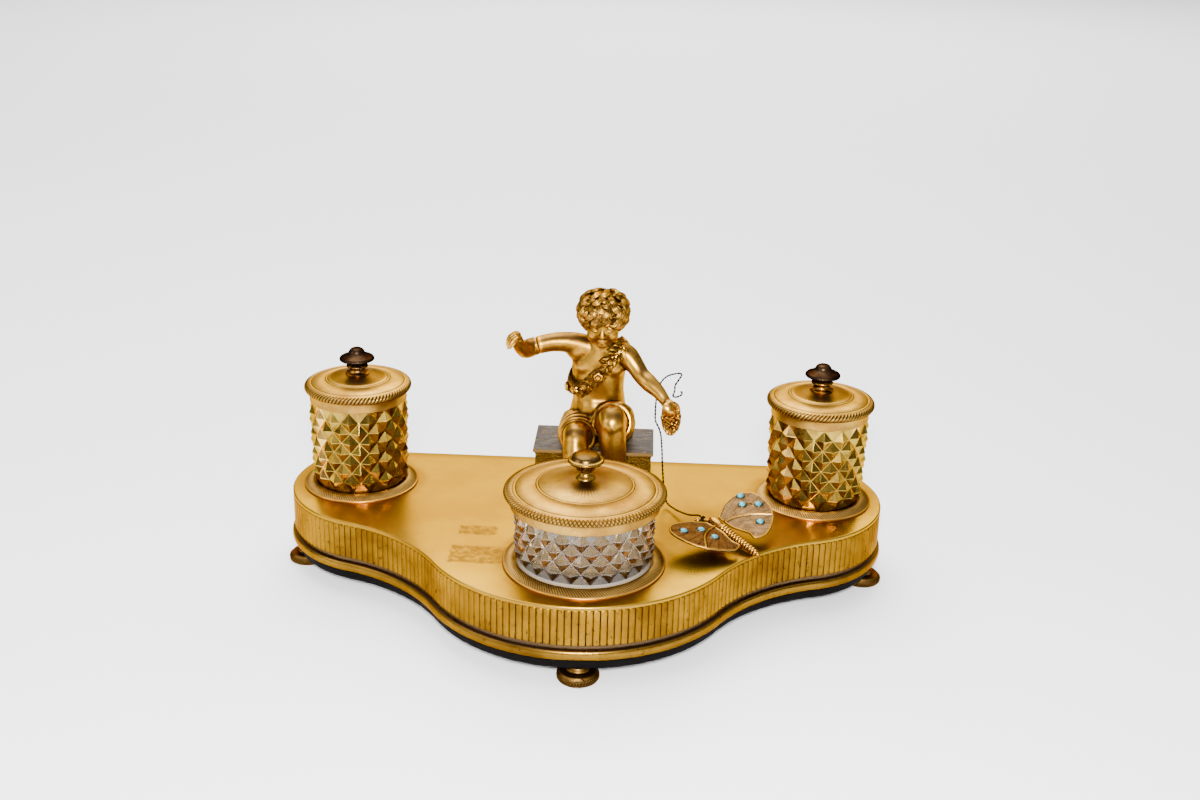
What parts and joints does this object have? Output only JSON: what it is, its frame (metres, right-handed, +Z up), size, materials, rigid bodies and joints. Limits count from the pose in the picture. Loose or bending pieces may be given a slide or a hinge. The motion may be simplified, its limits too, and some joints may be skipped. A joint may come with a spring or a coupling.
{
  "type": "desk inkstand",
  "caption": "Three-lobed gilt desk inkstand with reeded sides, seated child figure on a plinth, a butterfly on a wire, and lidded diamond-point jars with lift-out liners.",
  "frame": {"origin": "middle of the footprint, on the surface that the feet stand on", "axes": "+X to the right along the straight back, +Y to the back, +Z up; the front lobe points to -Y"},
  "size_m": [0.3062, 0.1738, 0.1439],
  "materials": {
    "gilt_satin": "satin mercury gilding with fine lengthwise brushing and amber patina",
    "gilt_burnished": "burnished gilding with brown patina in the recesses",
    "gilt_patinated": "matte gilding, toned brown",
    "bronze_dark": "dark bronze patina",
    "ebonised_wood": "black, matt",
    "worn_slab": "grey-brown toned metal, worn, with ochre patches",
    "clear_glass": "clear cut lead glass, polished",
    "turquoise": "polished turquoise-blue cabochon",
    "plain_brass": "plain turned brass"
  },
  "bodies": {
    "stand": {"tray_top_plate": "gilt_satin", "reeded_frieze": "gilt_satin", "base_moulding": "gilt_satin", "bottom_board": "ebonised_wood", "foot_front": "gilt_patinated", "foot_left": "gilt_patinated", "foot_right": "gilt_patinated", "foot_back": "gilt_patinated", "foot_nut_front": "plain_brass", "foot_nut_left": "plain_brass", "foot_nut_right": "plain_brass", "foot_nut_back": "plain_brass", "jar_ring_front": "gilt_patinated", "jar_ring_left": "gilt_patinated", "jar_ring_right": "gilt_patinated", "plinth_box": "gilt_satin", "plinth_slab": "worn_slab", "figure_body": "gilt_burnished", "figure_stud": "plain_brass", "figure_nut": "plain_brass", "right_forearm": "gilt_burnished", "right_elbow_pin": "plain_brass", "flower_bunch": "gilt_patinated", "butterfly_body": "gilt_burnished", "butterfly_right_wings": "gilt_patinated", "butterfly_left_wings": "gilt_patinated", "turquoise_1": "turquoise", "turquoise_2": "turquoise", "turquoise_3": "turquoise", "turquoise_4": "turquoise", "turquoise_5": "turquoise", "turquoise_6": "turquoise", "turquoise_7": "turquoise", "butterfly_post": "plain_brass", "leash_collar": "bronze_dark", "leash_wire": "bronze_dark"},
    "jar_left": {"jar_left": "gilt_burnished"},
    "liner_left": {"liner_left": "clear_glass"},
    "lid_left": {"lid_left": "gilt_satin", "knob_left": "bronze_dark", "knob_nut_left": "plain_brass"},
    "jar_right": {"jar_right": "gilt_burnished"},
    "liner_right": {"liner_right": "clear_glass"},
    "lid_right": {"lid_right": "gilt_satin", "knob_right": "bronze_dark", "knob_nut_right": "plain_brass"},
    "jar_front": {"jar_front": "clear_glass"},
    "lid_front": {"lid_front": "gilt_satin", "knob_front": "gilt_burnished", "knob_nut_front": "plain_brass"}
  },
  "joints": [
    {"name": "jar_left_lift", "type": "slide", "parent": "stand", "child": "jar_left", "axis": [0, 0, 1], "range_m": [0, 0.08]},
    {"name": "liner_left_lift", "type": "slide", "parent": "jar_left", "child": "liner_left", "axis": [0, 0, 1], "range_m": [0, 0.06]},
    {"name": "lid_left_lift", "type": "slide", "parent": "liner_left", "child": "lid_left", "axis": [0, 0, 1], "range_m": [0, 0.05]},
    {"name": "jar_right_lift", "type": "slide", "parent": "stand", "child": "jar_right", "axis": [0, 0, 1], "range_m": [0, 0.08]},
    {"name": "liner_right_lift", "type": "slide", "parent": "jar_right", "child": "liner_right", "axis": [0, 0, 1], "range_m": [0, 0.06]},
    {"name": "lid_right_lift", "type": "slide", "parent": "liner_right", "child": "lid_right", "axis": [0, 0, 1], "range_m": [0, 0.05]},
    {"name": "jar_front_lift", "type": "slide", "parent": "stand", "child": "jar_front", "axis": [0, 0, 1], "range_m": [0, 0.08]},
    {"name": "lid_front_lift", "type": "slide", "parent": "jar_front", "child": "lid_front", "axis": [0, 0, 1], "range_m": [0, 0.05]}
  ]
}
